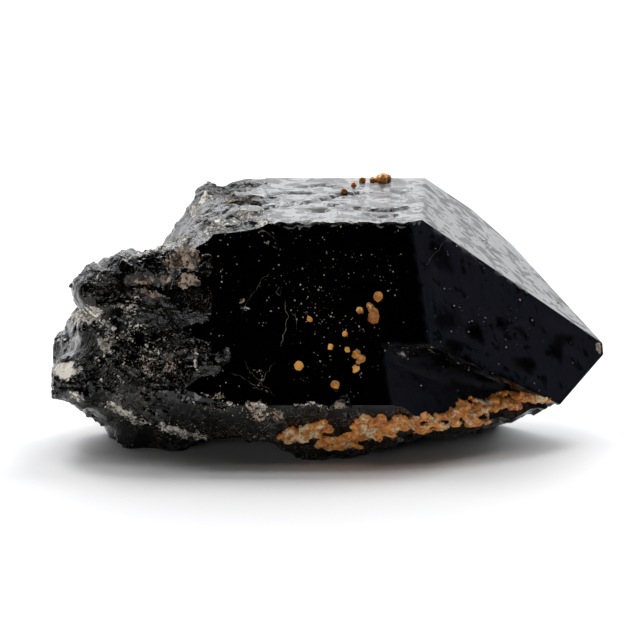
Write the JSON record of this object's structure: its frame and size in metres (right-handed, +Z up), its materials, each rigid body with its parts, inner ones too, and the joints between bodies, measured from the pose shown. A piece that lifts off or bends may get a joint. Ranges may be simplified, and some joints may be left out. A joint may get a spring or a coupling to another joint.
{
  "type": "morion quartz point",
  "caption": "Black morion quartz crystal lying on a prism face, with a broken base, small orange garnets and a crust of garnet along its lower front edge.",
  "frame": {"origin": "middle of the crystal's footprint, on the surface that it lies on", "axes": "+X along the crystal's long axis towards its tip, -Y to the front with the garnets, +Z up"},
  "size_m": [0.0886, 0.0544, 0.0398],
  "materials": {
    "morion": "glossy",
    "garnet": "satin"
  },
  "bodies": {
    "root": {"morion_crystal": "morion"}
  },
  "joints": []
}
